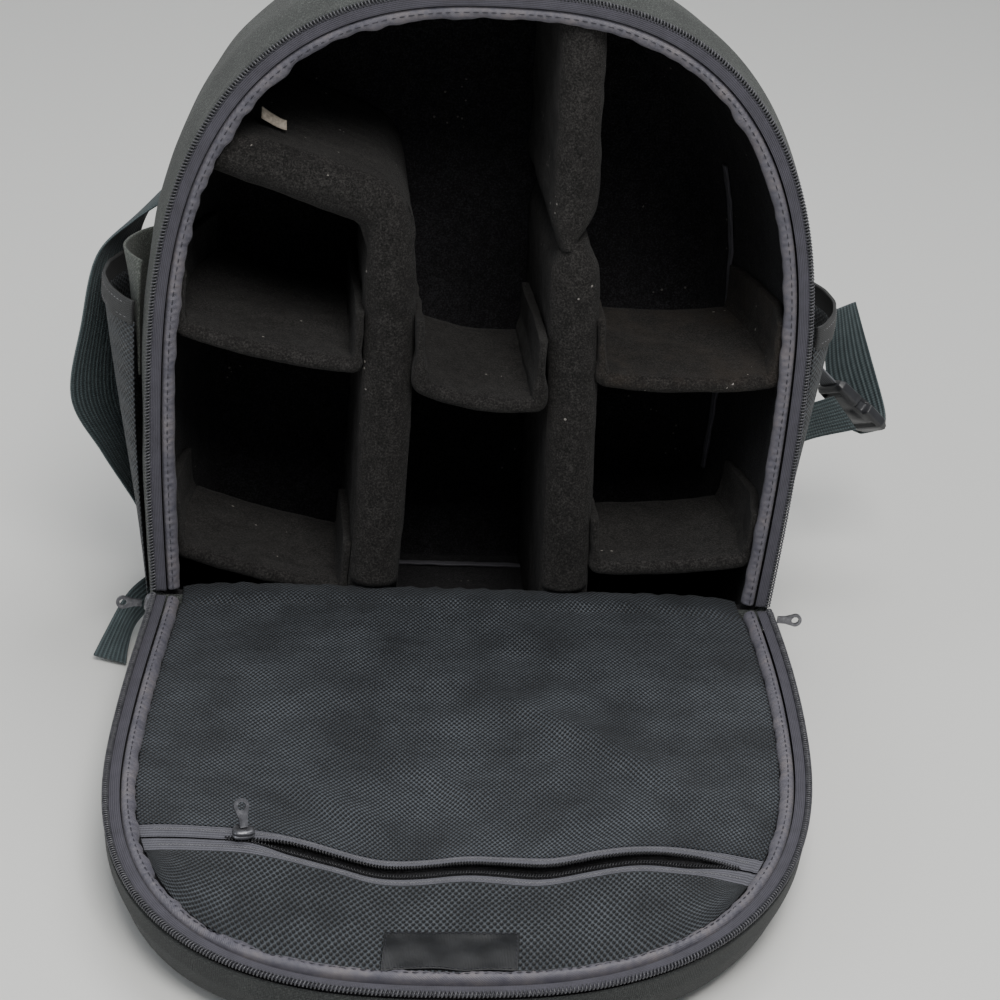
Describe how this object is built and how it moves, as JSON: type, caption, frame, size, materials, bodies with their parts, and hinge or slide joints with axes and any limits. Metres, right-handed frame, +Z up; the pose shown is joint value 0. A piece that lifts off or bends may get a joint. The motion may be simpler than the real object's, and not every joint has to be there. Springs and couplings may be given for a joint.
{
  "type": "camera backpack",
  "caption": "Padded camera backpack standing on its base with the zipped front panel lowered, showing felt dividers and shelves, a net pocket, side pockets and straps.",
  "frame": {"origin": "centre of the flat base, on the surface that the bag stands on", "axes": "+X to the right of someone who faces the opening, +Y towards the worn side with the shoulder straps, +Z up"},
  "size_m": [0.4434, 0.491, 0.3591],
  "materials": {
    "heather_cloth": "grey-green heather polyester weave, slightly fuzzy",
    "felt_lining": "black brushed felt over foam",
    "satin_binding": "grey satin bias tape, puckered and stitched",
    "zip_tape": "dark woven zip tape",
    "zip_teeth": "moulded coil teeth",
    "net": "dark blue-grey knitted net",
    "grey_tape": "grey woven tape",
    "label_satin": "blank black satin",
    "webbing": "slate ribbed webbing",
    "zip_metal": "dark grey painted die casting",
    "buckle_plastic": "dark grey moulded plastic",
    "linen_tag": "pale woven tape"
  },
  "bodies": {
    "bag": {"outer_shell": "heather_cloth", "padded_lining": "felt_lining", "opening_zip_coil": "zip_teeth", "opening_zip_tape": "zip_tape", "opening_binding": "satin_binding", "panel_shell": "heather_cloth", "panel_padding": "felt_lining", "panel_hinge": "felt_lining", "panel_zip_coil": "zip_teeth", "panel_zip_tape": "zip_tape", "panel_binding": "satin_binding", "pocket_net_upper": "net", "pocket_net_lower": "net", "pocket_coil_upper": "zip_teeth", "pocket_tape_upper": "grey_tape", "pocket_coil_lower": "zip_teeth", "pocket_tape_lower": "grey_tape", "panel_label": "label_satin", "slider_left": "zip_metal", "slider_right": "zip_metal", "pocket_slider": "zip_metal", "divider_left": "felt_lining", "divider_right_upper": "felt_lining", "divider_right_lower": "felt_lining", "shelf_left_upper": "felt_lining", "shelf_left_lower": "felt_lining", "shelf_centre": "felt_lining", "shelf_right_upper": "felt_lining", "shelf_right_lower": "felt_lining", "lining_tag": "linen_tag", "corner_binding_right": "satin_binding", "floor_seam_binding": "satin_binding", "side_pocket_left_net": "net", "side_pocket_left_band": "zip_tape", "side_pocket_right_net": "net", "side_pocket_right_band": "zip_tape", "side_pocket_left_gusset": "heather_cloth", "belt_webbing_left": "webbing", "webbing_tab_left": "webbing", "buckle_right": "buckle_plastic", "belt_strap_grey_right": "grey_tape", "belt_webbing_right": "webbing", "belt_webbing_tail_right": "webbing", "back_pad": "zip_tape", "shoulder_strap_left": "heather_cloth", "shoulder_strap_right": "heather_cloth", "strap_webbing_left": "webbing", "strap_webbing_right": "webbing", "haul_handle": "webbing"},
    "pocket_pull": {"pocket_pull": "zip_metal"},
    "pull_left": {"pull_left": "zip_metal"},
    "pull_right": {"pull_right": "zip_metal"}
  },
  "joints": [
    {"name": "pocket_pull_swing", "type": "hinge", "parent": "bag", "child": "pocket_pull", "pos_m": [-0.1093, -0.28278, 0.03916], "axis": [0.9397, 0.342, 0], "range_deg": [-52, 105]},
    {"name": "pull_left_swing", "type": "hinge", "parent": "bag", "child": "pull_left", "pos_m": [-0.16177, -0.07635, 0.03905], "axis": [0, 0, 1], "range_deg": [-70, 70]},
    {"name": "pull_right_swing", "type": "hinge", "parent": "bag", "child": "pull_right", "pos_m": [0.16177, -0.07635, 0.03905], "axis": [0, 0, 1], "range_deg": [-70, 70]}
  ]
}
